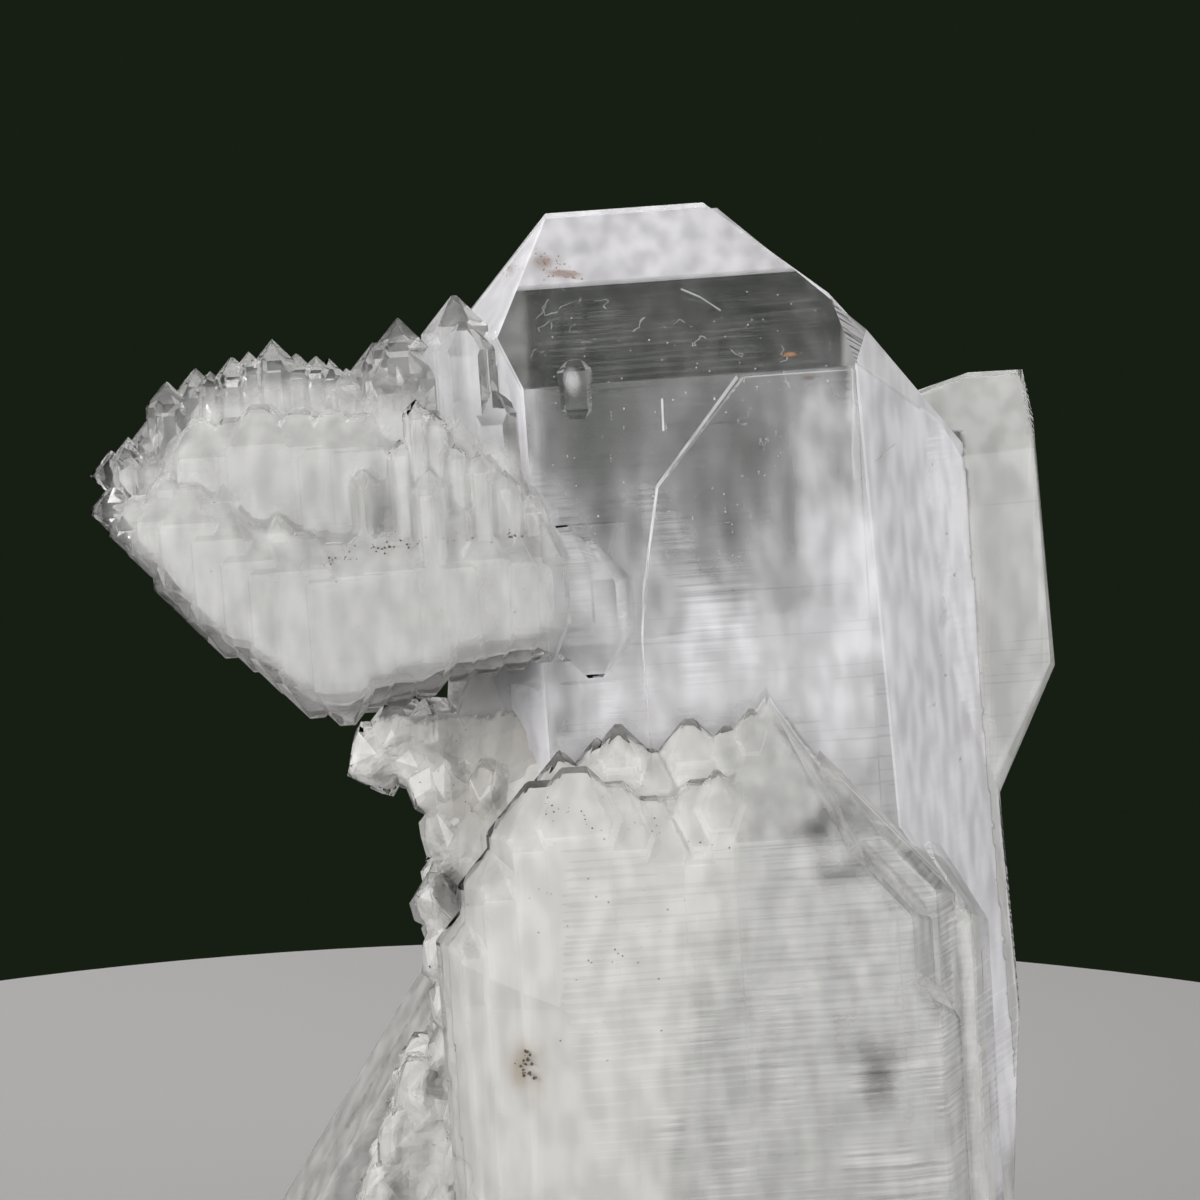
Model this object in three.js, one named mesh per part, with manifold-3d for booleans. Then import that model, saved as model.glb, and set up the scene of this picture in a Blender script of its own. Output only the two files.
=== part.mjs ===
// A lemurian quartz cluster: one large flat point, a milky wing of small points on its left, a broad
// low plate of crystal in front, two side points behind, and a crust of small crystals between them.
// All of it grew together, so it is one solid. It is cut off flat at the bottom and stands on the cut.
// The crystals are laid out upright in millimetres: a is the width, b the depth (front is minus) and
// c the height. The finished cluster leans over a little, as the whole of it does in the hand.
import * as THREE from "three";
import { ConvexGeometry } from "three/addons/geometries/ConvexGeometry.js";
import { mergeVertices } from "three/addons/utils/BufferGeometryUtils.js";
import Module from "manifold-3d";

const wasm = await Module();
wasm.setup();

const DEG = Math.PI / 180;
const LEAN = 4; // degrees the long axes lean to the left
const END_SLOPE = 38.2; // degrees between a quartz end face and the long axis
const SEED = 20;

// The large point.
const MAIN_FRONT = -10;
const MAIN_BACK = 18;
const MAIN_SHOULDER = 126.4; // height where the front end face begins
const MAIN_TOP = 148.2;
const LAYER = 0.9; // thickness of the raised layer on its front

const PLATE_FRONT = -26; // front face of the broad plate
const FOOT = -30; // all crystals run below the cut
const FINEST = 0.04; // edges closer than this are joined

// A repeatable run of chance numbers between 0 and 1, for the small uneven differences.
let state = SEED;
function chance() {
  state = (state + 0x6d2b79f5) | 0;
  let t = Math.imul(state ^ (state >>> 15), 1 | state);
  t = (t + Math.imul(t ^ (t >>> 7), 61 | t)) ^ t;
  return ((t ^ (t >>> 14)) >>> 0) / 4294967296;
}
const between = (low, high) => low + (high - low) * chance();

// A flat face: its outward direction and one place it passes through.
function face(normal, place) {
  const n = new THREE.Vector3(...normal).normalize();
  return { n, d: n.dot(new THREE.Vector3(...place)) };
}

// A flat face through three places, turned to look away from the inside place.
function faceThrough(p, q, r, inside) {
  const [u, v, w] = [p, q, r].map((x) => new THREE.Vector3(...x));
  const n = v.clone().sub(u).cross(w.clone().sub(u)).normalize();
  if (n.dot(new THREE.Vector3(...inside).sub(u)) > 0) n.negate();
  return { n, d: n.dot(u) };
}

// Side faces stand upright and end faces slope in, both numbered in sixths of a turn from the front.
function sideFace(k, place, turn = 0) {
  const t = (60 * k + turn) * DEG;
  return face([Math.sin(t), -Math.cos(t), 0], place);
}
function endFace(k, place, turn = 0, up = 1) {
  const t = (60 * k + turn) * DEG;
  const out = Math.cos(END_SLOPE * DEG);
  return face([Math.sin(t) * out, -Math.cos(t) * out, up * Math.sin(END_SLOPE * DEG)], place);
}

// The corners of the solid that lies behind all the faces.
function corners(faces) {
  const found = [];
  for (let i = 0; i < faces.length; i++)
    for (let j = i + 1; j < faces.length; j++)
      for (let k = j + 1; k < faces.length; k++) {
        const [f, g, h] = [faces[i], faces[j], faces[k]];
        const gh = g.n.clone().cross(h.n);
        const det = f.n.dot(gh);
        if (Math.abs(det) < 1e-6) continue;
        const p = gh.multiplyScalar(f.d);
        p.addScaledVector(h.n.clone().cross(f.n), g.d);
        p.addScaledVector(f.n.clone().cross(g.n), h.d);
        p.divideScalar(det);
        const outside = faces.some((e) => e.n.dot(p) > e.d + 1e-5);
        const known = found.some((q) => q.distanceTo(p) < 1e-3);
        if (!outside && !known) found.push(p);
      }
  return found;
}

// A three.js geometry as a closed solid in the leaning frame.
const leaning = new THREE.Matrix4().makeRotationY(-LEAN * DEG);
function solidOf(geometry, join = 1e-5) {
  geometry.deleteAttribute("normal");
  geometry.deleteAttribute("uv");
  const merged = mergeVertices(geometry, join);
  const vertProperties = merged.attributes.position.array;
  const triVerts = new Uint32Array(merged.index.array);
  return new wasm.Manifold(new wasm.Mesh({ numProp: 3, vertProperties, triVerts }));
}

const grown = [];
function grow(places, tilt) {
  const points = places.map((p) => (p.isVector3 ? p : new THREE.Vector3(...p)));
  const geometry = new ConvexGeometry(points);
  if (tilt) geometry.applyMatrix4(tilt);
  grown.push(solidOf(geometry.applyMatrix4(leaning)));
}

// A quartz crystal. Its middle stands at (a, b) and its tip is at height tip; wide and deep are half
// its width and half its depth. A ridge makes the tip a chisel edge of that half length. The foot is
// a second tip when pointed is true, or else a flat end.
function crystal(o) {
  const { a, b, tip, foot, wide, deep } = o;
  const { ridge = 0, turn = 0, uneven = 0, pointed = false, tilt = null } = o;
  const faces = [];
  for (let k = 0; k < 6; k++) {
    const reach = k % 3 === 0 ? deep : wide * Math.cos(30 * DEG);
    const t = (60 * k + turn) * DEG;
    faces.push(sideFace(k, [a + Math.sin(t) * reach, b - Math.cos(t) * reach, 0], turn));
    const along = k % 3 === 0 ? 0 : k < 3 ? ridge : -ridge;
    const lift = uneven * between(-1, 1);
    const edge = [a + Math.cos(turn * DEG) * along, b + Math.sin(turn * DEG) * along];
    faces.push(endFace(k, [...edge, tip + lift], turn));
    if (pointed) faces.push(endFace(k, [...edge, foot - lift], turn, -1));
  }
  if (!pointed) faces.push(face([0, 0, -1], [a, b, foot]));
  let matrix = null;
  if (tilt) {
    const [left, forward] = tilt;
    matrix = new THREE.Matrix4().makeTranslation(a, b, (tip + foot) / 2);
    matrix.multiply(new THREE.Matrix4().makeRotationY(-left * DEG));
    matrix.multiply(new THREE.Matrix4().makeRotationX(forward * DEG));
    matrix.multiply(new THREE.Matrix4().makeTranslation(-a, -b, -(tip + foot) / 2));
  }
  grow(corners(faces), matrix);
}

// The height of a line of places [a, c] above a given a.
function heightAt(line, a) {
  let k = 0;
  while (k < line.length - 2 && line[k + 1][0] < a) k++;
  const [p, q] = [line[k], line[k + 1]];
  return p[1] + ((q[1] - p[1]) * (a - p[0])) / (q[0] - p[0]);
}

// The large point: a chisel end whose right shoulder drops in two steps.
const ridgeDepth = MAIN_FRONT + (MAIN_TOP - MAIN_SHOULDER) * Math.tan(END_SLOPE * DEG);
const ridgeLeft = [7.2, ridgeDepth, MAIN_TOP];
const ridgeRight = [27.1, ridgeDepth, MAIN_TOP];
const shoulderUpper = [41.3, -2.9, 135.4];
const shoulderFront = [43.5, MAIN_FRONT, MAIN_SHOULDER];
const shoulderMiddle = [52.7, 8, 122.9];
const middle = [25, 3, 60];
grow(
  corners([
    sideFace(0, [0, MAIN_FRONT, 0]),
    face([25.7, -16.4, 0.9], shoulderFront),
    face([0.866, 0.5, 0.035], [59.6, 15.7, 112.5]),
    face([1, 0, -0.13], [62.4, 15.7, 38]),
    sideFace(3, [0, MAIN_BACK, 0]),
    sideFace(4, [-7, 7.5, 0]),
    sideFace(5, [3.1, MAIN_FRONT, 0]),
    endFace(0, ridgeLeft),
    endFace(3, ridgeLeft),
    endFace(4, ridgeLeft),
    endFace(5, ridgeLeft),
    faceThrough(ridgeRight, shoulderUpper, shoulderMiddle, middle),
    faceThrough(shoulderFront, shoulderUpper, shoulderMiddle, middle),
    face([1.49, 0.02, 1], shoulderMiddle),
    face([0, 0, -1], [0, 0, FOOT]),
  ]),
);

// A thin raised layer on its front face, with a slanting edge.
const layerEdge = [[29.6, 126], [43, 126], [43, 50], [16, 50], [15.4, 96], [17.4, 108.5], [18.4, 113.4]];
const layer = [];
for (const [a, c] of layerEdge)
  layer.push([a, MAIN_FRONT - LAYER, c], [a + 0.6, MAIN_FRONT + 1, c - 0.3]);
grow(layer);

// The small flake that stands on the front face near the top left.
const flake = { a: 9.6, b: -9.6, tip: 129.4, foot: 122, wide: 2.1, deep: 1.3 };
crystal({ ...flake, ridge: 1, uneven: 0.4, pointed: true });

// The point behind on the right, with both of its ends showing.
grow([
  [61.6, 22, 124.5], [68.8, 22, 124.4], [56, 14, 113.5], [68.4, 14, 114.2],
  [69, 17, 118], [70.1, 17, 85.2], [69, 14, 86], [61.9, 17, 68.7], [61, 14, 71],
  [48, 20, 55], [48, 14, 62], [60, 34, 110], [68, 32, 112], [69.4, 32, 87], [60, 33, 71],
  [48, 30, 60], [48, 30, 116], [48, 16, 112], [48, 21, 120.8],
]);

// The clear point behind on the left, low down.
const lowTip = [-11.7, 20, 57];
const lowShoulder = [-42.5, 20, 12.8];
grow(
  corners([
    sideFace(0, [0, 12, 0]),
    sideFace(3, [0, 28, 0]),
    sideFace(4, lowShoulder),
    sideFace(5, lowShoulder),
    sideFace(1, [20, 20, 0]),
    sideFace(2, [20, 20, 0]),
    endFace(0, lowTip),
    endFace(3, lowTip),
    face([-1.43, -0.75, 1], lowTip),
    face([-1.43, 0.75, 1], lowTip),
    face([0, 0, -1], [0, 0, FOOT]),
  ]),
);

// The wing is rows of parallel crystals. These lines [a, c] are its lower outline, the shelf on top
// of its belly and the step above that.
const wingUnder = [
  [-52, 120.5], [-50.5, 118.3], [-45.5, 110.9], [-33, 96.8], [-27.2, 92.1], [-21.3, 86.8],
  [-16.5, 90], [-7.7, 92], [7.3, 93.5], [14, 88],
];
const wingShelf = [
  [-50, 118], [-45.7, 115.3], [-39.3, 116.4], [-33.9, 114.1], [-29.3, 110.8], [-20.6, 108],
  [-12.2, 109], [3, 109.2], [14, 104],
];
const wingStep = [[-46, 118], [-40.2, 119], [-35.4, 125.6], [-24.5, 126.6], [-11.6, 124], [8, 113]];

// High clear tips of the back row: a, tip height, half width.
const highTips = [
  [-48.1, 122.6, 2.6], [-45.6, 124.2, 2.2], [-43.2, 126.2, 2.4], [-40.2, 130.6, 2.6],
  [-37.1, 131.8, 2.4], [-35, 131.4, 1.8], [-32.3, 132.6, 2.2], [-29.8, 133.4, 2.1],
  [-27.1, 134.4, 2.6], [-24.5, 133, 2], [-22.2, 132.4, 1.8], [-20.6, 132, 1.6],
  [-18.4, 130.6, 2.2], [-14.7, 133.8, 2.9], [-11.6, 136.4, 3.1], [-8.6, 132.6, 2.4],
  [-4.8, 138.6, 3.6], [-1.2, 134.4, 3],
];
for (const [a, tip, half] of highTips) {
  const pointed = a < -38;
  const foot = pointed ? heightAt(wingUnder, a) + between(0, 2) : 112;
  const b = -3.5 + between(-1, 1.5) + (a + 50) * 0.02;
  crystal({ a, b, tip, foot, wide: half * 1.15, deep: half * 1.25, uneven: 0.5, pointed });
}

// Three large clear tips next to the large point stand further forward.
crystal({ a: -3.4, b: -7.4, tip: 135, foot: 100, wide: 3.6, deep: 3.4, ridge: 0.3, uneven: 0.4 });
crystal({ a: -0.6, b: -8.4, tip: 126.5, foot: 100, wide: 3.2, deep: 3.4, ridge: 0.8, uneven: 0.5 });
crystal({ a: -12.8, b: -6.6, tip: 131.6, foot: 100, wide: 3.4, deep: 3.6, ridge: 0.4, uneven: 0.5 });

// Back of the wing: wider crystals side by side.
for (let a = -45; a < 2; a += 7.4) {
  const foot = heightAt(wingUnder, a) + between(3, 6);
  const tip = heightAt([[-50, 122], [-38, 130], [0, 132]], a) - between(1, 4);
  crystal({ a, b: 4 + between(-0.6, 0.6), tip, foot, wide: 5.2, deep: 5, pointed: true });
}

// Middle row: wide crystals whose front faces run together, with a scalloped top.
for (let a = -39.5; a < 4; a += between(3.2, 4.6)) {
  const tip = heightAt(wingStep, a) + between(-0.8, 0.8);
  const foot = Math.max(106, heightAt(wingUnder, a) + 4);
  const wide = Math.min(6, 3.4 + (a + 40) * 0.3);
  const b = -8.4 + between(-0.3, 0.3);
  crystal({ a, b, tip, foot, wide, deep: 3.7, ridge: 1.1, uneven: 0.3 });
}

// Front row, the belly. Its face swells forward in the middle of the wing.
for (let a = -46.5; a < 12; a += between(2.9, 3.7)) {
  const bulge = Math.sin(Math.PI * Math.min(1, (a + 52) / 68));
  const front = -10.6 - 7.6 * bulge ** 0.7 + between(-0.2, 0.2);
  const tip = heightAt(wingShelf, a) + between(1.2, 2.4);
  const foot = heightAt(wingUnder, a) + between(-0.7, 0.5);
  const wide = Math.min(5.2, 3 + (a + 47) * 0.3);
  crystal({ a, b: front + 3.5, tip, foot, wide, deep: 3.5, ridge: 0.9, pointed: true });
}

// A second thin row under the belly.
const secondUnder = [[-28, 93.4], [-24.5, 90], [-21.4, 87], [-16, 88.6], [-9, 89.5]];
for (let a = -28; a < -9; a += between(2.8, 3.6)) {
  const foot = heightAt(secondUnder, a) + between(-0.5, 0.5);
  const b = -7.6 + between(-0.3, 0.3);
  crystal({ a, b, tip: foot + 14, foot, wide: 3.8, deep: 4.2, ridge: 0.8, pointed: true });
}

// Fills the wing behind its rows, so that they hold together.
grow([
  [-46, -6, 118], [-40, -6, 124], [-12, -9, 124], [2, -9, 122], [2, 6, 126], [-36, 6, 126],
  [-44, 5, 118], [-27, 6, 98], [4, 6, 95], [-14, 6, 95],
]);
grow([
  [-45, -6, 117], [-36, -14, 112], [-27, -14.6, 110], [-8, -14.8, 108], [6, -12.6, 106],
  [-34, -12, 103], [-24, -13, 95.5], [-8, -14, 96], [6, -12.4, 98], [-22, -6, 93], [4, -6, 96],
  [-40, 0, 118], [4, 0, 112], [-22, 2, 94],
]);

// Short crystals that stand on the shelf: a, b, tip height, half width.
const shelfPoints = [
  [-9.4, -13.4, 126.2, 1.7], [-7.4, -13, 124.6, 1.5], [-8.4, -15.6, 117.8, 2.2],
  [-5.4, -14.6, 113.8, 1.8], [-11.6, -13.4, 121.5, 1.6], [-2.4, -13, 119.4, 1.9],
  [0.6, -12.8, 117.2, 1.7], [-16.4, -13.2, 118.4, 1.5], [-5.2, -13.2, 120.6, 1.4],
  [3.4, -11.6, 114.2, 1.9],
];
for (const [a, b, tip, wide] of shelfPoints)
  crystal({ a, b, tip, foot: 104, wide, deep: wide * 1.1, uneven: 0.3, turn: between(-8, 8) });
for (let a = -40; a < -18; a += between(5, 7)) {
  const tip = heightAt(wingShelf, a) + between(1.5, 4.5);
  const b = -12.4 + between(-1, 1);
  const wide = between(1.6, 2.6);
  crystal({ a, b, tip, foot: tip - 12, wide, deep: 2, uneven: 0.3, turn: between(-10, 10) });
}

// The front plate. Its right half is one clear crystal face with a stepped right edge.
function plate(front, back, left, right, top, slope) {
  const edge = front + Math.min(5, (back - front) / 2);
  grow(
    corners([
      sideFace(0, [0, front, 0]),
      sideFace(3, [0, back, 0]),
      sideFace(1, [right, edge, 0]),
      sideFace(2, [right, edge, 0]),
      sideFace(5, [left, front, 0]),
      endFace(0, top),
      face([Math.tan(slope * DEG), -0.35, 1], top),
      face([-1.3, -0.35, 1], top),
      face([0, 0, -1], [0, 0, FOOT]),
    ]),
  );
}
plate(PLATE_FRONT, -8, 14, 45.4, [30, -14.4, 87.4], 58);
plate(PLATE_FRONT + 0.4, -8, 20, 47.2, [33, -16, 79.4], 50);
plate(PLATE_FRONT + 0.7, -8, 24, 49.9, [40, -18, 66.5], 60);
plate(-18.5, -4, 24, 51, [36, -11, 80.4], 49);
plate(-13.4, -1, 30, 55.6, [49.6, -8, 65.5], 52);

// Its left half is milky: broad crystals side by side, with a short row behind their tips.
const plateTop = [
  [-9, 44], [-6.5, 56], [-4, 64], [-0.8, 70.5], [2.6, 75.6], [6.2, 76.8], [10.1, 75],
  [13.5, 73], [20.4, 72.6], [23.1, 77.4], [25.6, 73],
];
for (const a of [-4.4, -1.2, 2.6, 6.4, 10.4, 14.4, 18.2, 21.4]) {
  const tip = heightAt(plateTop, a) + 5.2;
  const back = a < 0 ? -a * 0.5 : Math.max(0, a - 10) * 0.055;
  const b = PLATE_FRONT + 4.85 + back + between(-0.12, 0.12);
  const wide = a > 20 ? 5 : 7;
  crystal({ a, b, tip, foot: FOOT, wide, deep: 5.6, ridge: 1.6, uneven: 0.3 });
}
crystal({ a: 23, b: -21.5, tip: 80.6, foot: FOOT, wide: 4, deep: 4.8, ridge: 0.3 });
const plateCrest = [
  [3, 79.6, 2.6], [4.8, 83.2, 2.8], [9.2, 84.4, 3.4], [12, 86, 3.2], [15.6, 83, 3.2],
  [20.4, 86.2, 3.4], [24.8, 85, 2.6], [27.6, 86.6, 2.4],
];
for (const [a, tip, half] of plateCrest) {
  const b = -15.4 + between(-0.6, 0.6);
  crystal({ a, b, tip, foot: 40, wide: half * 1.2, deep: 3.6, ridge: 0.3, uneven: 0.3 });
}

// The column under the wing: a plain core, covered in a crust of rounded lumps.
const columnLeft = [
  [-40, -30], [0, -29], [18, -27], [26, -25.5], [33, -22.5], [41, -19.5], [44, -15],
  [54, -13.4], [60, -15.2], [68, -14.4], [74, -14], [80, -16], [92, -16],
];
grow([
  [-26, -11, -30], [-26, 14, -30], [2, -20, -30], [12, -20, -30], [2, 16, -30],
  [-21.5, -10, 28], [-21, 14, 20], [2, -20, 30], [12, -20, 62], [4, 10, 74],
  [-11.5, -9, 48], [-11.5, 9, 48],
]);
grow([
  [-11, -6, 40], [-11, 8, 40], [4, -18, 40], [4, 12, 40], [-11, -2, 72], [-11, 8, 76],
  [2, -15, 66], [4, -9.9, 72], [4, 10, 92], [-9, 3, 92], [4, -3, 92],
]);

// A rounded lump of crust: the hull of some places on a ball.
const LUMP_PLACES = 18;
function lump(a, b, c, size, tall = 1.2) {
  const places = [];
  for (let k = 0; k < LUMP_PLACES; k++) {
    const up = -0.95 + (1.9 * k) / (LUMP_PLACES - 1);
    const round = 2.4 * k + between(-0.5, 0.5);
    const out = size * Math.sqrt(1 - up * up) * between(0.88, 1.08);
    places.push([a + out * Math.cos(round), b + out * Math.sin(round), c + up * size * tall]);
  }
  grow(places);
}

// The crust on the left side of the column.
for (let c = 1; c < 78; c += between(5, 6.4)) {
  const left = heightAt(columnLeft, c);
  const front = c > 66 ? -2 : -11;
  for (let b = front + between(0, 2); b < 9; b += between(5.6, 7.4)) {
    const size = between(3, 4.2);
    lump(left + size * 0.95, b, c, size);
  }
}

// The crust on the front of the column, between its edge and the milky plate.
for (let c = -2; c < 78; c += between(5, 6.4)) {
  const left = heightAt(columnLeft, c) + 6;
  const right = c > 70 ? 1 : -4;
  for (let a = left; a < right; a += between(4.8, 6)) {
    const share = (a - left) / Math.max(4, right - left);
    const b = c > 66 ? -3 - 9 * share : -12 - 8 * share;
    lump(a, b + 1.6, c, between(2.6, 3.8), 1.4);
  }
}

// The lumps that hang below the wing.
const hanging = [
  [-19.4, 4, 81.4, 3.9], [-15.4, 3, 84, 4.2], [-13.4, 2, 79.4, 3.4], [-11, -1, 85, 3.6],
  [-18.2, 5, 78.6, 2.6],
];
for (const [a, b, c, size] of hanging) lump(a, b, c, size);

// The outside of a solid: its largest closed surface, with corners that nearly touch made one.
function outside(body) {
  const { vertProperties, triVerts } = body.getMesh();
  const geometry = new THREE.BufferGeometry();
  geometry.setAttribute("position", new THREE.BufferAttribute(vertProperties, 3));
  geometry.setIndex(new THREE.BufferAttribute(triVerts, 1));
  const parts = solidOf(geometry.toNonIndexed(), 2e-3).decompose();
  return parts.reduce((most, part) => (part.volume() > most.volume() ? part : most));
}

// Joins it all, cuts the bottom off flat and puts the middle of its box over the origin.
const whole = wasm.Manifold.union(grown);
const aboveCut = new THREE.BoxGeometry(400, 400, 400).translate(0, 0, 200);
const solid = outside(outside(whole.intersect(solidOf(aboveCut))).simplify(FINEST));
const box = solid.boundingBox();
const mesh = solid.getMesh();
const geometry = new THREE.BufferGeometry();
geometry.setAttribute("position", new THREE.BufferAttribute(mesh.vertProperties, 3));
geometry.setIndex(new THREE.BufferAttribute(mesh.triVerts, 1));
geometry.translate(-(box.min[0] + box.max[0]) / 2, -(box.min[1] + box.max[1]) / 2, 0);

const quartz = new THREE.MeshStandardMaterial({ color: "#dcdadd", roughness: 0.2 });
quartz.flatShading = true;
const cluster = new THREE.Mesh(geometry, quartz);
cluster.name = "quartz_cluster";
const group = new THREE.Group();
group.add(cluster);
export default group;
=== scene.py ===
# %% [markdown]
# # A lemurian quartz cluster
# The cluster is one piece of rock: a large flat-ended point, a wing of small points on its left, a
# broad low plate in front of it and two side points behind. Parts of it are as clear as glass and
# parts are milky, because milky quartz is full of tiny bubbles of trapped water. The solid model
# gives the outside. Blender adds what is seen through it and on it.

# %% Load the solid model
import math
import random

import bpy
import numpy as np
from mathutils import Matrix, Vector, noise


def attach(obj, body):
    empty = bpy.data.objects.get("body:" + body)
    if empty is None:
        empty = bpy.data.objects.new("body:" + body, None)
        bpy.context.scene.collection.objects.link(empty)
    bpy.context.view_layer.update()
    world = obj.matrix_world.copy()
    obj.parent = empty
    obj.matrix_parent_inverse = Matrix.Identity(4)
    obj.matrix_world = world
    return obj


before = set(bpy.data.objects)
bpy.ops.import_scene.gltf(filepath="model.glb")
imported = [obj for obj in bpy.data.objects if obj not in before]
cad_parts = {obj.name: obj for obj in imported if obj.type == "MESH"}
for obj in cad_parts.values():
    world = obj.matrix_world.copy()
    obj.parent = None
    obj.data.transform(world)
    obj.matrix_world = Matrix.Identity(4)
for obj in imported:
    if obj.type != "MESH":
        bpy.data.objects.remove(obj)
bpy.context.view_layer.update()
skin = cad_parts["quartz_cluster"]

# %% [markdown]
# The long axes of the crystals lean a little to the left, so it is easier to think in their own
# upright coordinates: a is the width, b the depth with the front at minus, and c the height, all
# in millimetres. Three short helpers turn these into the metres of the model and back.

# %% Upright coordinates
MM = 0.001
LEAN = math.radians(4)
SHIFT_X, SHIFT_Y = 2.4245, 3.598


def along(a, b, c):
    """A direction in the upright coordinates, turned into the model's."""
    x = a * math.cos(LEAN) - c * math.sin(LEAN)
    return Vector((x, b, a * math.sin(LEAN) + c * math.cos(LEAN)))


def at(a, b, c):
    """A place in upright millimetres, turned into the model's metres."""
    return (along(a, b, c) - Vector((SHIFT_X, SHIFT_Y, 0))) * MM


def upright(piece):
    """The upright width, depth and height of all the points of a piece."""
    spots = np.zeros(len(piece.data.vertices) * 3)
    piece.data.vertices.foreach_get("co", spots)
    x, y, z = (spots.reshape(-1, 3) / MM).T
    x = x + SHIFT_X
    a = x * math.cos(LEAN) + z * math.sin(LEAN)
    return a, y + SHIFT_Y, z * math.cos(LEAN) - x * math.sin(LEAN)


print("tip of the large point", [round(v, 4) for v in at(17, 7, 148)])

# %% [markdown]
# The camera looks almost straight at the front, from five degrees above, with a long lens.

# %% Camera
lens = bpy.data.cameras.new("camera")
lens.lens = 72
lens.sensor_width = 36
lens.clip_start = 0.01
camera = bpy.data.objects.new("camera", lens)
bpy.context.scene.collection.objects.link(camera)
looked_at = Vector((0.0013255, -0.003598, 0.1))
raised = math.radians(5)
DISTANCE = 0.3
camera.location = looked_at + DISTANCE * Vector((0, -math.cos(raised), math.sin(raised)))
camera.rotation_euler = (looked_at - camera.location).to_track_quat("-Z", "Y").to_euler()
bpy.context.scene.camera = camera
print("camera", [round(v, 3) for v in camera.location])

# %% [markdown]
# Operators act on whatever is selected, so each step starts with nothing selected. Four helpers
# keep the later cells short: one to start clean, one to add and apply a modifier, one to finish
# the mesh that was just made, and one for a material.

# %% Helpers for pieces
def alone(piece=None):
    """Leaves edit mode and selects this piece only."""
    if bpy.context.object and bpy.context.object.mode != "OBJECT":
        bpy.ops.object.mode_set(mode="OBJECT")
    bpy.ops.object.select_all(action="DESELECT")
    if piece:
        bpy.context.view_layer.objects.active = piece
        piece.select_set(True)


def apply(piece, kind, **settings):
    """Adds a modifier with these settings and applies it at once."""
    step = piece.modifiers.new("step", kind)
    for key, value in settings.items():
        setattr(step, key, value)
    alone(piece)
    bpy.ops.object.modifier_apply(modifier=step.name)


def settle(name):
    """Names the active object, moves its place into its mesh and turns its faces out."""
    piece = bpy.context.object
    piece.name = piece.data.name = name
    alone(piece)
    bpy.ops.object.transform_apply(location=True, rotation=True, scale=True)
    bpy.ops.object.mode_set(mode="EDIT")
    bpy.ops.mesh.select_all(action="SELECT")
    bpy.ops.mesh.normals_make_consistent(inside=False)
    bpy.ops.object.mode_set(mode="OBJECT")
    return piece


def new_material(name, **values):
    """A material with these constant values, its node tree and its shader."""
    material = bpy.data.materials.new(name)
    material.use_nodes = True
    shader = material.node_tree.nodes["Principled BSDF"]
    for socket, value in values.items():
        shader.inputs[socket.replace("_", " ")].default_value = value
    return material, material.node_tree, shader


# %% [markdown]
# The cluster stands on a plain pale round table. Clear crystal shows what is behind it, so what
# is behind it has to be dark, as it is where such stones are shown. Four large soft lamps stand in
# for windows: one on the left, one above and behind, which makes the clear parts glow, one on the
# right and a wide one in front. A ray may bounce only a few times, to keep the render short, but
# it may pass many open shells.

# %% Table, surroundings and lamps
TABLE_RADIUS, TABLE_DEPTH, GAP = 0.24, 0.02, 0.0001
alone()
bpy.ops.mesh.primitive_cylinder_add(
    vertices=128, radius=TABLE_RADIUS, depth=TABLE_DEPTH, location=(0, 0, -TABLE_DEPTH / 2 - GAP)
)
table = settle("table")
table.data.materials.append(new_material("table", Base_Color=(0.62, 0.60, 0.60, 1), Roughness=0.6)[0])

world = bpy.data.worlds.new("surroundings")
bpy.context.scene.world = world
world.use_nodes = True
world.node_tree.nodes["Background"].inputs["Color"].default_value = (0.0086, 0.013, 0.0065, 1)
bpy.context.scene.view_settings.view_transform = "Standard"
tracing = bpy.context.scene.cycles
tracing.max_bounces = 5
tracing.diffuse_bounces = 1
tracing.glossy_bounces = 2
tracing.transmission_bounces = 5
tracing.transparent_max_bounces = 18


STONE_MIDDLE = Vector((0, 0, 0.08))


def lamp(name, place, wide, power):
    """A round soft lamp that is turned to the middle of the stone."""
    light = bpy.data.lights.new(name, "AREA")
    light.shape = "DISK"
    light.size = wide
    light.energy = power
    holder = bpy.data.objects.new(name, light)
    bpy.context.scene.collection.objects.link(holder)
    holder.location = place
    holder.rotation_euler = (STONE_MIDDLE - Vector(place)).to_track_quat("-Z", "Y").to_euler()


lamp("window_left", (-0.55, -0.35, 0.3), 0.5, 2.1)
lamp("window_behind", (-0.15, 0.35, 0.65), 0.5, 2.6)
lamp("window_right", (0.6, -0.3, 0.3), 0.5, 2.0)
lamp("soft_front", (0.1, -0.85, 0.2), 0.8, 2.1)

# %% [markdown]
# Materials are built from nodes. This small class adds and joins them with short names, and gives
# every pattern the same upright millimetres that the pieces are placed with.

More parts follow.
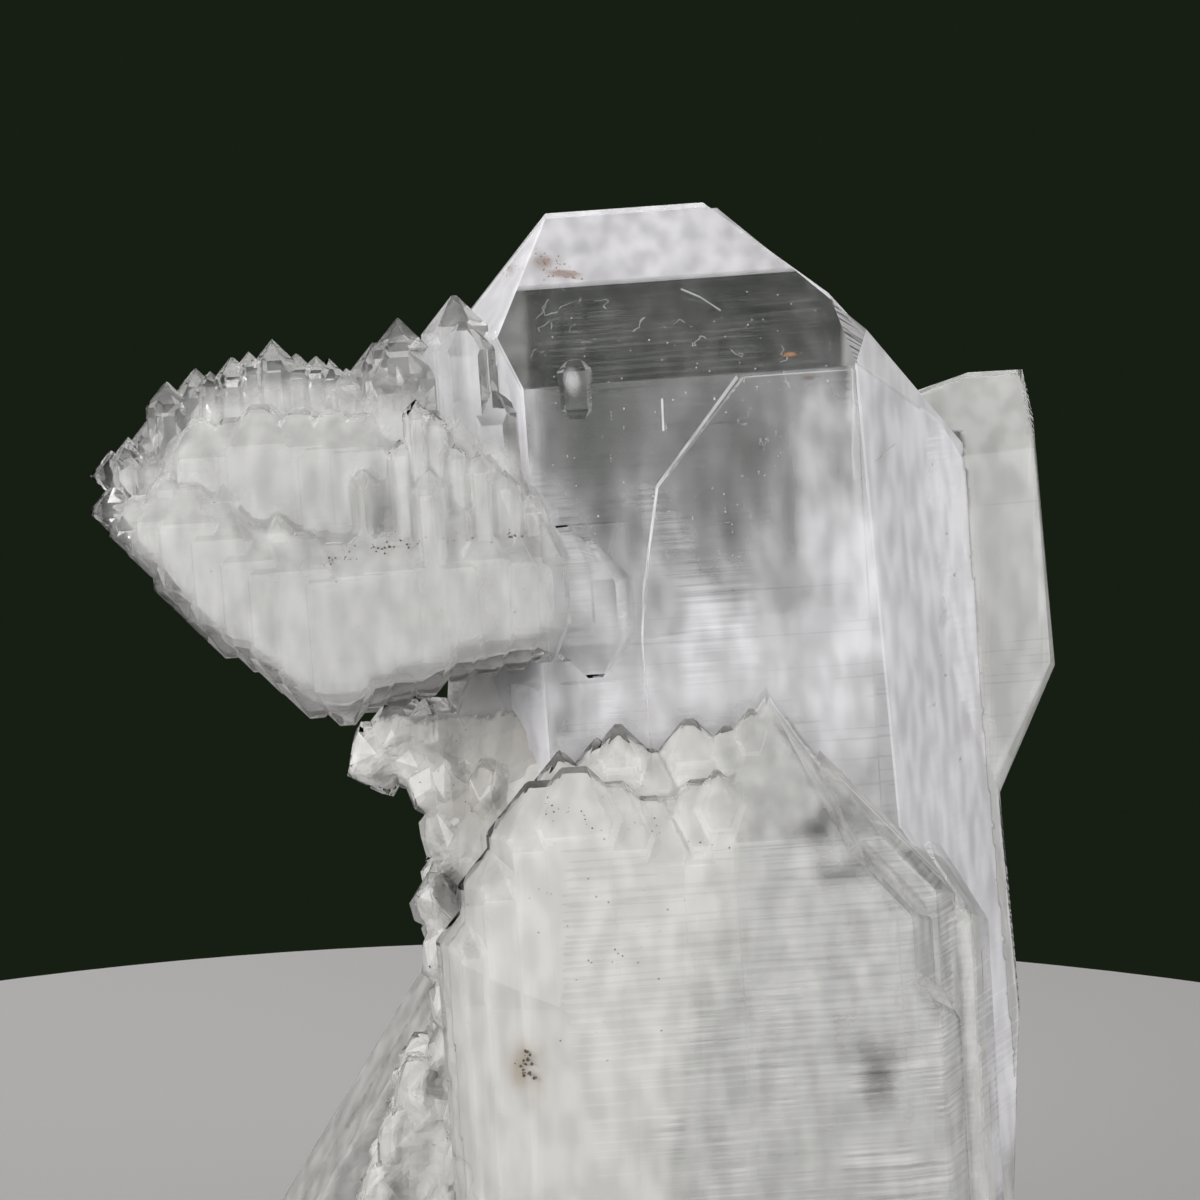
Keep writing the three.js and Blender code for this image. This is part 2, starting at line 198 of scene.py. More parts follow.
# %% Helpers for nodes
class Nodes:
    """Short names for adding and joining the nodes of one tree."""

    def __init__(self, tree):
        self.tree = tree

    def add(self, kind, inputs=None, **settings):
        node = self.tree.nodes.new("ShaderNode" + kind)
        for key, value in settings.items():
            setattr(node, key, value)
        for key, value in (inputs or {}).items():
            if isinstance(value, bpy.types.NodeSocket):
                self.tree.links.new(value, node.inputs[key])
            else:
                node.inputs[key].default_value = value
        return node

    def math(self, operation, one, two=0.0, clamp=False):
        return self.add("Math", {0: one, 1: two}, operation=operation, use_clamp=clamp).outputs[0]

    def span(self, value, low, high, to_low=0.0, to_high=1.0):
        """Eases from to_low to to_high while the value goes from low to high."""
        inputs = {0: value, 1: low, 2: high, 3: to_low, 4: to_high}
        return self.add("MapRange", inputs, interpolation_type="SMOOTHSTEP").outputs[0]

    def noise(self, stretch, detail):
        """Noise whose grains are 1 / stretch millimetres wide, with so much finer noise in it."""
        place = self.add("Mapping", {0: self.upright(), "Scale": stretch}).outputs[0]
        inputs = {"Vector": place, "Scale": 1.0, "Detail": detail, "Roughness": 0.6, "Distortion": 0.0}
        return self.add("TexNoise", inputs).outputs["Fac"]

    def blend(self, share, one, two):
        """From one colour to the other."""
        return self.add("Mix", {0: share, 6: one, 7: two}, data_type="RGBA").outputs[2]

    def upright(self):
        """The place on the surface in upright millimetres."""
        middle = (SHIFT_X * math.cos(LEAN), SHIFT_Y, -SHIFT_X * math.sin(LEAN))
        place = self.add("TexCoord").outputs["Object"]
        inputs = {0: place, "Location": middle, "Rotation": (0, LEAN, 0), "Scale": (1 / MM, 1 / MM, 1 / MM)}
        return self.add("Mapping", inputs).outputs[0]


# %% [markdown]
# Quartz is see-through with an index of refraction of 1.544. The upright side faces of lemurian
# quartz carry fine level lines, like a bar code, so a bump made of noise that is stretched flat
# draws them there and leaves the end faces smooth. The milky left side has none. Lamps have to
# reach what is inside, so the glass lets shadow rays pass.

# %% Clear quartz
quartz, tree, shader = new_material(
    "clear_quartz", Base_Color=(1, 1, 1, 1), IOR=1.544, Transmission_Weight=1.0, Roughness=0.0
)
n = Nodes(tree)
facing = n.add("TexCoord").outputs["Normal"]
axis = n.add("VectorMath", {0: facing, 1: along(0, 0, 1)}, operation="DOT_PRODUCT").outputs["Value"]
side = n.span(n.math("ABSOLUTE", axis), 0.1, 0.3, 1, 0)
width = n.add("SeparateXYZ", {0: n.upright()}).outputs[0]
clear = n.span(width, 3, 7)
flat_noise = n.noise((0.04, 0.04, 1.6), 0.5)
lines = n.math("MULTIPLY", n.math("MULTIPLY", flat_noise, side), clear)
lined = n.add("Bump", {"Strength": 0.4, "Distance": 0.0003, "Height": lines})
tree.links.new(lined.outputs[0], shader.inputs["Normal"])
shadow = n.add("LightPath").outputs["Is Shadow Ray"]
passing = n.add("BsdfTransparent").outputs[0]
through = n.add("MixShader", {0: shadow, 1: shader.outputs[0], 2: passing})
tree.links.new(through.outputs[0], tree.nodes["Material Output"].inputs["Surface"])
skin.data.materials.clear()
skin.data.materials.append(quartz)
print("clear quartz", len(tree.nodes), "nodes")

# %% [markdown]
# Milk in quartz is a fog of tiny bubbles. A true fog is slow to render, and thin shells inside the
# glass look the same: each shell is white where it is thick and open where it is thin, and a few
# of them behind each other give depth. How thick a shell is, from 0 to 1, is painted on its
# points as the attribute cover. Fine noise then breaks it up, and where the attribute lines is
# painted, level streaks too. One node group does this for all of them.

# %% Milk pattern
group = bpy.data.node_groups.new("milk_pattern", "ShaderNodeTree")
COLOUR, NUMBER = "NodeSocketColor", "NodeSocketFloat"
for name, kind in (("Thin", COLOUR), ("Thick", COLOUR), ("Stain_and_shade", COLOUR), ("Grain", NUMBER)):
    group.interface.new_socket(name, in_out="INPUT", socket_type=kind)
for name, kind in (("Colour", COLOUR), ("Alpha", NUMBER)):
    group.interface.new_socket(name, in_out="OUTPUT", socket_type=kind)
n = Nodes(group)
given = group.nodes.new("NodeGroupInput").outputs
cover = n.add("Attribute", attribute_name="cover").outputs["Fac"]
# This attribute blends in the brown earth colour: earth stains, and painted shade in the recess under the
# wing.
stain_and_shade = n.add("Attribute", attribute_name="stain_and_shade").outputs["Fac"]
streaky = n.add("Attribute", attribute_name="lines").outputs["Fac"]
fine = n.noise((0.45, 0.45, 0.2), 0.5)
level = n.noise((0.05, 0.05, 2.4), 1)
half = n.math("MULTIPLY", n.math("MULTIPLY", cover, n.math("SUBTRACT", 1.0, cover)), given["Grain"])
uneven = n.math("MULTIPLY", n.math("SUBTRACT", fine, 0.5), half)
streaks = n.math("MULTIPLY", n.math("SUBTRACT", level, 0.5), n.math("MULTIPLY", streaky, 2.0))
shade = n.blend(n.span(fine, 0.3, 0.7), given["Thin"], given["Thick"])
shade = n.blend(stain_and_shade, shade, given["Stain_and_shade"])
out = group.nodes.new("NodeGroupOutput")
group.links.new(shade, out.inputs["Colour"])
group.links.new(n.math("ADD", cover, n.math("ADD", uneven, streaks), clamp=True), out.inputs["Alpha"])


# Brown of earth stains, also used as painted shade in the recess under the wing.
EARTH_STAIN_AND_SHADE = (0.42, 0.34, 0.25, 1)


def milky(name, thin, thick, grain=1.5):
    """A dull white fog with the milk pattern in its colour and its cover."""
    material, tree, shader = new_material(name, Roughness=1.0, Specular_IOR_Level=0.0)
    pattern = tree.nodes.new("ShaderNodeGroup")
    pattern.node_tree = group
    for socket, value in (("Thin", thin), ("Thick", thick), ("Stain_and_shade", EARTH_STAIN_AND_SHADE), ("Grain", grain)):
        pattern.inputs[socket].default_value = value
    tree.links.new(pattern.outputs["Colour"], shader.inputs["Base Color"])
    tree.links.new(pattern.outputs["Alpha"], shader.inputs["Alpha"])
    return material


milk_white = milky("milky_quartz", (0.63, 0.625, 0.61, 1), (0.74, 0.735, 0.72, 1))
haze_white = milky("haze", (0.80, 0.785, 0.81, 1), (0.93, 0.915, 0.94, 1))
print("milk pattern", len(group.nodes), "nodes")


# %% [markdown]
# Cover is worked out from the place of each point: it rises and falls over so many millimetres,
# and slow billows, also a noise, make it uneven.

# %% Painting helpers
def rise(value, low, high):
    """Eases from 0 to 1 while the value goes from low to high."""
    t = np.clip((value - low) / (high - low), 0, 1)
    return t * t * (3 - 2 * t)


def bump_at(value, middle, wide):
    """One at the middle, fading to both sides."""
    return np.exp(-(((value - middle) / wide) ** 2))


def billows(piece, size, tall=1.5, shift=0.0):
    """Slow noise from about -1 to 1 with lumps of so many millimetres."""
    a, b, c = upright(piece)
    spots = zip(a / size + shift, b / size, c / size / tall)
    return np.array([noise.fractal(spot, 0.7, 2.0, 4) for spot in spots])


def paint(piece, name, values, place="POINT"):
    """Writes one value for each point, or for each corner of a face, between 0 and 1."""
    layer = piece.data.attributes.new(name, "FLOAT", place)
    layer.data.foreach_set("value", np.clip(values, 0, 1).astype(np.float32))


def corners(piece):
    """For every corner of every face: its point's number, and the way the face looks."""
    mesh = piece.data
    points = np.zeros(len(mesh.loops), dtype=np.int32)
    mesh.loops.foreach_get("vertex_index", points)
    facing = np.zeros(len(mesh.polygons) * 3)
    mesh.polygons.foreach_get("normal", facing)
    counts = np.zeros(len(mesh.polygons), dtype=np.int32)
    mesh.polygons.foreach_get("loop_total", counts)
    return points, np.repeat(facing.reshape(-1, 3), counts, axis=0)


def dress(piece, material):
    """Gives a piece its material and fixes it to the stone."""
    piece.data.materials.clear()
    piece.data.materials.append(material)
    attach(piece, "root")
    print(piece.name, len(piece.data.vertices), "points")


# %% [markdown]
# The large point is cut from a block, one plane for each face, as a stone cutter would do it. The
# same planes moved inwards give a smaller block that follows its faces, and the fog shells start
# from such blocks.

# %% Blocks cut by planes
FRONT_SIDE = ((0, -1, 0), (0, -10, 0))
RIGHT_FRONT = ((25.7, -16.4, 0.9), (43.5, -10, 126.4))
RIGHT_BACK = ((0.866, 0.5, 0.035), (59.6, 15.7, 112.5))
RIGHT_SIDE = ((1, 0, -0.13), (62.4, 15.7, 38))
BACK_SIDE = ((0, 1, 0), (0, 18, 0))
LEFT_BACK = ((-0.866, 0.5, 0), (-7, 7.5, 0))
LEFT_FRONT = ((-0.866, -0.5, 0), (3.1, -10, 0))
MAIN_SIDES = [FRONT_SIDE, RIGHT_FRONT, RIGHT_BACK, RIGHT_SIDE, BACK_SIDE, LEFT_BACK, LEFT_FRONT]
RIDGE = (7.2, 7.12, 148.2)
FRONT_END = (0, -0.786, 0.618)
MAIN_ENDS = [
    (FRONT_END, RIDGE),
    ((0, 0.786, 0.618), RIDGE),
    ((-0.681, 0.393, 0.618), RIDGE),
    ((-0.681, -0.393, 0.618), RIDGE),
    ((0.72, 0.02, 0.69), (41.3, -2.9, 135.4)),
]


BLOCK_SIZE, BLOCK_MIDDLE = 0.3, 0.1


def cut_block(name, sides, depth, grid=None):
    """A block cut by planes that are moved in by depth millimetres, remeshed where a grid is given."""
    alone()
    bpy.ops.mesh.primitive_cube_add(size=BLOCK_SIZE, location=(0, 0, BLOCK_MIDDLE))
    bpy.ops.object.mode_set(mode="EDIT")
    for normal, place in sides:
        out = along(*normal).normalized()
        moved_in = at(*place) - out * depth * MM
        bpy.ops.mesh.select_all(action="SELECT")
        bpy.ops.mesh.bisect(plane_co=moved_in, plane_no=out, use_fill=True, clear_outer=True)
    block = settle(name)
    if grid:
        apply(block, "REMESH", mode="VOXEL", voxel_size=grid * MM)
    return block


ROOM_FRONT, ROOM_BACK, ROOM_LEFT, ROOM_TOP = -13, 17.5, 4.5, 160
ROOM_WIDER, ROOM_SHORT_RIGHT = 0.3, 0.9
SAME_PLACE = 2e-6


def inner_copy(name, grid, depth, smooth, room_low):
    """The whole cluster again, depth millimetres smaller, without the room of the large point."""
    piece = bpy.data.objects.new(name, skin.data.copy())
    bpy.context.scene.collection.objects.link(piece)
    alone(piece)
    bpy.ops.object.mode_set(mode="EDIT")
    bpy.ops.mesh.select_all(action="SELECT")
    bpy.ops.mesh.remove_doubles(threshold=SAME_PLACE)
    bpy.ops.object.mode_set(mode="OBJECT")
    apply(piece, "REMESH", mode="VOXEL", voxel_size=grid * MM)
    apply(piece, "DISPLACE", strength=-depth * MM, mid_level=0)
    apply(piece, "SMOOTH", iterations=smooth)
    sides = [((0, -1, 0), (0, ROOM_FRONT, 0)), RIGHT_FRONT]
    for normal, (a, b, c) in (RIGHT_BACK, RIGHT_SIDE):
        sides.append((normal, (a - ROOM_SHORT_RIGHT, b, c)))
    sides += [((0, 1, 0), (0, ROOM_BACK, 0)), ((-1, 0, 0), (ROOM_LEFT, 0, 0))]
    sides += [((0, 0, -1), (0, 0, room_low)), ((0, 0, 1), (0, 0, ROOM_TOP))]
    room = cut_block("room", sides, -ROOM_WIDER)
    apply(piece, "BOOLEAN", operation="DIFFERENCE", object=room, solver="FAST")
    bpy.data.objects.remove(room)
    return piece


# %% [markdown]
# The fog follows the forms of the cluster, so first come the lines that bound it: the scalloped
# lower edge of the wing, the step below its clear tips, and the dark smudges on the plate. The two
# lines are heights over the width, with straight stretches between their corners.

# %% Outlines of the milk
WING_UNDER = [[-52, 120.5], [-50.5, 118.3], [-45.5, 110.9], [-33, 96.8], [-27.2, 92.1], [-21.3, 86.8]]
WING_UNDER += [[-16.5, 90], [-7.7, 92], [7.3, 93.5], [14, 88]]
WING_STEP = [[-46, 118], [-40.2, 119], [-35.4, 125.6], [-24.5, 126.6], [-11.6, 124], [8, 113]]


def wing_lines(a):
    """The height of the wing's lower edge and of its step at these widths."""
    return np.interp(a, *np.array(WING_UNDER).T), np.interp(a, *np.array(WING_STEP).T)


def smudge_at(a, c):
    """One in the dark smudges on the right of the plate, where the fog is thin."""
    upper = bump_at(a, 34.3, 5) * bump_at(c, 73, 1.8) + bump_at(a, 36.8, 4) * bump_at(c, 68, 1.6)
    return upper + bump_at(a, 39.4, 3) * bump_at(c, 43.7, 5)


print("step of the wing at its middle", wing_lines(-20)[1])

# %% [markdown]
# The milk follows the whole cluster just under the skin, so it starts as a copy of the solid. The
# copy is remeshed, moved in and smoothed, because milk has no sharp edges. On the druse column a
# grainy texture pushes it in by up to a millimetre, which gives the crust its small lumps.

# %% Milk
milk = inner_copy("milk", grid=0.8, depth=0.45, smooth=3, room_low=90)
a, b, c = upright(milk)
in_column = (a < 14) & (b > -21) & (b < 16) & (c < 90) & ((a < 4) | (c > 60))
crusty = milk.vertex_groups.new(name="crust")
crusty.add([int(i) for i in np.flatnonzero(in_column)], 1, "ADD")
grains = bpy.data.textures.new("grains", "VORONOI")
grains.noise_scale = 0.0028
apply(milk, "DISPLACE", strength=-0.9 * MM, mid_level=0, texture=grains, vertex_group="crust")
a, b, c = upright(milk)
print("milk stands", round(float(c.max()), 1), "mm high")

# %% [markdown]
# Its cover differs from part to part: thin in the clear tips and along the lower edge of the wing,
# thick on the left of the plate, half open on its right, and none in the large point, because the
# fog of that point is painted on its own shells.

# %% Cover of the milk
under, step = wing_lines(a)
slow = billows(milk, 9)
in_wing = (c > 86) & (a < 15)
in_side_point = ((a > 59.3) & (b > 13)) | ((a > 44) & (b > 17))
in_low_point = (a < 8) & (b > 12.5) & (c < 60)
in_main = (a > 4) & (b > -12) & (b < 19)
in_room = (a > 4) & (b > -11.4) & (c > 86) & ~in_side_point
on_plate = b < -13

clear_tips = rise(c, step - 1, step + 4)
clear_edge = 1 - rise(c, under, under + 5)
wing = 0.5 * (1 - 0.8 * clear_tips) * (1 - 0.65 * clear_edge)
wing *= (0.3 + 0.7 * rise(a, -50, -43)) * (1 - 0.8 * rise(a, 0, 9))
right_half = rise(a - (c - 50) * 0.25 + slow * 4, 13, 22) * on_plate
plate = np.where(on_plate, 1 - right_half * (0.5 + 0.35 * smudge_at(a, c)), 1)

cover = np.where(in_main, 1 - rise(c, 14, 24), plate)
cover = np.where(in_wing, wing, cover)
cover = np.where(in_side_point, 0.92, cover)
cover = np.where(in_low_point, 0.5, cover)
cover = np.where(in_room, 0, cover)
paint(milk, "cover", cover + slow * cover * (1 - cover) * 0.8)

# %% [markdown]
# On the right of the plate the fog lies in level streaks. The recess under the wing is darkened a
# little with the brown earth colour as painted shade, a pit on the left of the plate is stained by
# earth, and the milk low on the left is a little creamy.

# %% Streaks, stains and painted shade of the milk
low_down = 1 - rise(c, 68, 76)
paint(milk, "lines", right_half * (0.12 + 0.5 * rise(slow, 0.1, 0.5)) * low_down)
# painted shade: the recess under the wing is darkened with the brown earth colour
recess_shade = rise(b, -18, -8) * (1 - rise(b, -4, 4)) * rise(c, 66, 76) * (1 - rise(c, 90, 96))
recess_shade *= rise(a, -16, -8) * (1 - rise(a, 12, 18))
pit = bump_at(a, -1.1, 2) * bump_at(c, 47.7, 3) * (b < -18) * rise(slow, -0.5, 0.2)
cream = 0.07 * (c < 88) * (a < 30) * (1 - right_half)
paint(milk, "stain_and_shade", recess_shade * 0.15 + pit + cream)
dress(milk, milk_white)

# %% [markdown]
# A second, deeper copy is the heart. It is solid white nearly everywhere, so that light which
# passes the thin milk meets something, as it does in a real milky crystal.

# %% Heart
heart = inner_copy("heart", grid=1.2, depth=2.2, smooth=6, room_low=84)
a, b, c = upright(heart)
under, step = wing_lines(a)
in_main = (a > 6) & (b > -11) & (b < 19)
in_room = (a > 4) & (a < 58) & (b > -9.5) & (b < 17) & (c > 92)
wing = (1 - 0.9 * rise(c, step - 2, step + 4)) * (1 - 0.8 * rise(a, 0, 9))
cover = np.where(in_main, 1 - rise(c, 70, 84), 1)
cover = np.where((c > 86) & (a < 15), wing, cover)
cover = np.where((a > 44) & (b > 17.5), 0.85, cover)
cover = np.where((a < 8) & (b > 12.5) & (c < 60), 0.4, cover)
cover = np.where(in_room, 0, cover)
right_half = rise(a - (c - 50) * 0.25, 17, 21) * (b < -11) * (c < 84)
cover = cover * (1 - right_half * (0.1 + 0.85 * smudge_at(a, c)))
slow = billows(heart, 8, shift=7)
paint(heart, "cover", cover + slow * cover * (1 - cover) * 1.5)
paint(heart, "lines", right_half * 0.15)
dress(heart, milk_white)

# %% [markdown]
# In the large point a veil lies just under the faces. It is cut into a fine grid, and painted
# corner by corner, so that each face can have a fog of its own with a sharp edge. The front is
# open near the top, which makes a clear window. The sloping back end face is nearly solid white,
# and the front end face is whiter above the window: this white is a painted reflection, standing in
# for the light that the back end face mirrors inside the crystal, and it shows as a bright band.

# %% Veil in the large point
def cut_grid(block, low, high, gap):
    """Cuts rows of edges through a block, gap millimetres apart, to have points to paint."""
    alone(block)
    bpy.ops.object.mode_set(mode="EDIT")
    for way in (Vector((1, 0, 0)), Vector((0, 1, 0)), Vector((0, 0, 1))):
        for row in np.arange(low @ way, high @ way, gap * (2 if way.y else 1)):
            bpy.ops.mesh.select_all(action="SELECT")
            bpy.ops.mesh.bisect(plane_co=at(*(way * row)), plane_no=along(*way))
    bpy.ops.object.mode_set(mode="OBJECT")


VEIL_SIDES = MAIN_SIDES + MAIN_ENDS + [((0, 0, -1), (0, 0, 12))]
veil = cut_block("veil", VEIL_SIDES, depth=0.5)
cut_grid(veil, low=Vector((-6, -9, 13)), high=Vector((62, 18, 148)), gap=1.5)
print("veil", len(veil.data.polygons), "faces")

# %% [markdown]
# The fog on the front is open above an edge that runs down to the right and climbs again. Near its
# left rim a white column is painted into it, a painted highlight that stands for the bright image of
# the left bevel seen through the crystal. The face that a corner lies on is told from the way it looks.

# %% Cover of the veil
slow = billows(veil, 9, tall=2.5)
points, facing = corners(veil)
a, b, c = (spots[points] for spots in upright(veil))
slow = slow[points]
face = [facing @ np.array(along(*normal).normalized()) > 0.995 for normal, _ in VEIL_SIDES]
edge = 119 - 11 * rise(a, 14, 26) + 16 * rise(a, 27, 33) + slow * 5
# painted highlight: a white column in the front fog for the bright image of the left bevel
painted_light_column = 0.3 * bump_at(a, 4.5, 1.2) * rise(c, 104, 116) * (1 - rise(c, 134, 138))
FACE_COVERS = [
    0.09 + 0.44 * (1 - rise(c, edge - 22, edge + 4)) + painted_light_column,  # front side
    0.85,  # right front
    0.8,  # right back
    0.85,  # right side
    0.04 + 0.5 * (1 - rise(c, 84, 104)),  # back side
    0.3,  # left back
    0.95,  # left front
    # painted reflection: the front end face above the window and the back end face are made white, which
    # shows as the bright band
    0.06 + 0.5 * (c > 138.8),  # front end, whiter above the window
    1,  # back end, the bright band
    0.5,  # left back end
    0.95,  # left front end
    0.85,  # right corner
    0,  # cut at the bottom
]
cover = np.select(face, [one + 0 * a for one in FACE_COVERS], 0)
on_end = np.any(face[len(MAIN_SIDES) : -1], axis=0)
calm = 1 - 0.8 * on_end
fade_out = rise(c, 10, 28)
paint(veil, "cover", (cover + slow * calm * cover * (1 - cover)) * fade_out, "CORNER")
left_of_ledge = (c > 88) * (1 - rise(a, 24, 34))
streaked = face[0] * 0.3 * rise(cover, 0.1, 0.3) * rise(slow, -0.1, 0.4)
paint(veil, "lines", streaked * left_of_ledge, "CORNER")
dress(veil, haze_white)

# %% [markdown]
# A cloud hangs deeper in the large point. It closes up towards the bottom and has a billowing top.
# It is a smaller block with a soft texture pressed into it. Its lid, which looks up, is closed.

# %% Cloud
CLOUD_TOP, CLOUD_LOW, CLOUD_DEPTH = 103, 30, 6
heaps = bpy.data.textures.new("heaps", "CLOUDS")
heaps.noise_scale = 0.012
heaps.noise_depth = 3
ends = [((-0.12, 0.3, 1), (30, 0, CLOUD_TOP)), ((0, 0, -1), (0, 0, CLOUD_LOW))]
cloud = cut_block("cloud", MAIN_SIDES + ends, CLOUD_DEPTH, grid=1.4)
apply(cloud, "DISPLACE", strength=4 * MM, mid_level=0.9, texture=heaps)
a, b, c = upright(cloud)
edge = CLOUD_TOP + (a - 30) * 0.12 - b * 0.3
walls = 1 - rise(c, edge - 14, edge - 2)
walls += billows(cloud, 8) * walls * (1 - walls)
normals = np.zeros(len(cloud.data.vertices) * 3)
cloud.data.vertices.foreach_get("normal", normals)
lid = rise(normals.reshape(-1, 3)[:, 2], 0.8, 0.95) * (b > 0)
paint(cloud, "cover", walls + (1 - walls) * lid)
dress(cloud, milk_white)

# %% [markdown]
# Some marks are long and thin: the bright ledge where a thin layer ends, the bright edge on the
# right, a crack, a scratch and a streak. Each is a strand, a small ring that is extruded from
# point to point.

# %% Strands
def strand(name, paths, thick, material, cover=0.6):
    """One thin rod for each path, all in one mesh."""
    alone()
    for path in paths:
        spots = [at(*place) for place in path]
        turn = (spots[1] - spots[0]).to_track_quat("Z", "Y").to_euler()
        bpy.ops.mesh.primitive_circle_add(
            vertices=6, radius=thick * MM, fill_type="NGON", location=spots[0], rotation=turn
        )
        if bpy.context.object.mode == "OBJECT":
            bpy.ops.object.transform_apply(location=True, rotation=True)
            bpy.ops.object.mode_set(mode="EDIT")
            bpy.ops.mesh.select_all(action="SELECT")
        for before, after in zip(spots, spots[1:]):
            bpy.ops.mesh.extrude_region_move(TRANSFORM_OT_translate={"value": after - before})
    piece = settle(name)
    paint(piece, "cover", np.full(len(piece.data.vertices), cover))
    dress(piece, material)


# This white is for healed cracks, and also for painted glints and painted bright specks.
bright = milky("healed_white_and_glint", (0.85, 0.85, 0.87, 1), (0.95, 0.95, 0.97, 1), grain=4.0)
LEDGE = [(29, -10.5, 126), (18.6, -10.5, 113.6), (17.6, -10.5, 108.6), (16.2, -10.5, 102)]
LEDGE += [(15.6, -10.5, 96), (15.4, -10.5, 90)]
CRACK = [(42.9, -9.2, 126), (42.8, -9, 121), (42.3, -9, 116), (42.4, -9, 112.7)]
CRACK += [(44, -8, 114.5), (46, -7, 115), (48, -5.6, 116.6)]
RIGHT_EDGE = [(58.9, 14.9, 112), (59.9, 15, 92), (60.6, 15.1, 70), (61.2, 15.2, 56)]
strand("ledge", [LEDGE], 0.2, bright)
strand("right_edge", [RIGHT_EDGE], 0.4, bright)
strand("crack", [CRACK], 0.12, bright)
strand("scratch", [[(23.3, -2.4, 137.2), (25.6, -3, 136), (27.9, -4, 134.2)]], 0.1, bright)
strand("streak", [[(19.9, -9.4, 124), (19.8, -9.4, 120.2)]], 0.14, bright)

# %% [markdown]
# Fine curly threads drift through the window. They are old healed cracks. Each is a strand that
# turns a little at every step. The turns come from a seeded draw, so they are the same each time.

# %% Threads in the window
chance = random.Random(7)
STARTS = [(6, 137), (7, 136), (8, 134), (9, 137), (10, 131), (11, 135), (6, 128), (7, 132)]
STARTS += [(12, 129), (14, 134), (18, 132), (21, 130), (26, 129), (29, 127), (31, 122)]
STARTS += [(33, 118), (24, 117), (30, 113), (35, 124)]
STEPS, STEP_LENGTH = 8, 0.45
threads = []
for a, c in STARTS:
    turn = chance.uniform(0, 6.3)
    path = [(a, chance.uniform(0, 8), c)]
    for _ in range(STEPS):
        turn += chance.gauss(0, 0.9)
        a, b, c = path[-1]
        b += chance.gauss(0, 0.3)
        path.append((a + STEP_LENGTH * math.cos(turn), b, c + STEP_LENGTH * math.sin(turn)))
    threads.append(path)
strand("threads", threads, 0.05, bright, cover=0.35)

# %% [markdown]
# Other marks are spots: rust on the end face, the small flake, glints of cracks deep inside. Each
# is a flat lens whose cover is thickest in the middle and open at the rim.

# %% Spots
SPOT_THICK = 0.12


def spot(name, place, toward, wide, tall, turn, material, cover):
    """A flat lens that looks toward one way and is turned by an angle in its own plane."""
    alone()
    bpy.ops.mesh.primitive_uv_sphere_add(segments=24, ring_count=13, radius=1)
    piece = bpy.context.object
    local = np.array([v.co for v in piece.data.vertices])
    piece.scale = (wide / 2 * MM, tall / 2 * MM, SPOT_THICK / 2 * MM)
    turned = Vector((1, 0, 0)).rotation_difference(Vector((math.cos(turn), math.sin(turn), 0)))
    piece.rotation_euler = (along(*toward).to_track_quat("Z", "Y") @ turned).to_euler()
    piece.location = at(*place)
    settle(name)
    paint(piece, "cover", cover * (1 - rise(np.hypot(local[:, 0], local[:, 1]), 0.2, 1)))
    dress(piece, material)


rust = milky("rust", (0.24, 0.12, 0.06, 1), (0.40, 0.24, 0.15, 1), grain=4.0)


def end_face(a, c, sink):
    """A place on the front end face of the large point, sink millimetres under it."""
    return (a, -10 + (c - 126.4) * 0.787 + sink, c)


spot("rust_1", end_face(6.4, 141.8, 0.3), FRONT_END, 4, 3.5, 0.2, rust, 0.16)
spot("rust_2", end_face(9.0, 140.2, 0.3), FRONT_END, 6, 1.6, -0.1, rust, 0.2)
spot("rust_3", end_face(2.6, 141.2, 0.3), FRONT_END, 1.6, 2.6, 0.1, rust, 0.16)
spot("rust_4", end_face(35.6, 128.2, 0.2), FRONT_END, 2.4, 1.0, 0.1, rust, 0.9)
spot("rust_5", (37.6, -9.7, 125.3), (0, -1, 0), 1.6, 0.6, 0.1, rust, 0.6)
spot("flake", (9.3, -10.9, 126.8), (0, -1, 0), 2.4, 4.4, 0.2, bright, 0.3)
# painted highlights: white lenses deep in the large point stand for glints, bright spots of light
GLINTS = [(41.6, -5, 102.8, 5, 9), (45.7, -3, 95.5, 4, 7), (53, 5, 96.1, 5, 9)]
GLINTS += [(50.6, 4, 72, 5, 8), (46, -2, 109, 6, 8), (36, -5, 96, 8, 7)]
for number, (a, b, c, wide, tall) in enumerate(GLINTS):
    spot(f"glint_{number + 1}", (a, b, c), (0.5, -0.8, 0.3), wide, tall, 0.3, bright, 0.55)

# %% [markdown]
# Then come specks: dust in the window, and on the right bright specks that are painted highlights.
# One small ball is added again and again in edit mode, so that they all end up in one mesh.

# %% Specks
def specks(name, count, low, high, small, large, material):
    """Small balls strewn through a box between two upright places."""
    chance = random.Random(len(name))
    alone()
    bpy.ops.mesh.primitive_ico_sphere_add(subdivisions=1, radius=0.1 * MM, location=at(*low))
    bpy.ops.object.transform_apply(location=True)
    bpy.ops.object.mode_set(mode="EDIT")
    for _ in range(count):
        place = [chance.uniform(low[k], high[k]) for k in range(3)]
        size = chance.uniform(small, large)
        bpy.ops.mesh.primitive_ico_sphere_add(subdivisions=1, radius=size * MM, location=at(*place))
    piece = settle(name)
    paint(piece, "cover", np.full(len(piece.data.vertices), 0.9))
    dress(piece, material)


specks("window_specks", 150, (6, -9, 100), (42, 10, 134), 0.04, 0.12, bright)
# painted highlights: bright specks strewn in the right of the large point
specks("right_bubbles", 40, (44, -2, 62), (56, 8, 114), 0.12, 0.3, bright)

# %% [markdown]
# Dirt has stayed in the crevices: along the shelf of the wing, under the short tips of the plate
# and in small pits. Grains of rust lie on the end face too. A ray that is shot from the front finds
# the place of each grain on the skin, and the grain is sunk in by its own radius.

# %% Dirt in the crevices
earth = new_material("dirt", Base_Color=(0.13, 0.095, 0.06, 1), Roughness=0.9)[0]
rust_dust = new_material("rust_dust", Base_Color=(0.30, 0.15, 0.07, 1), Roughness=0.9)[0]


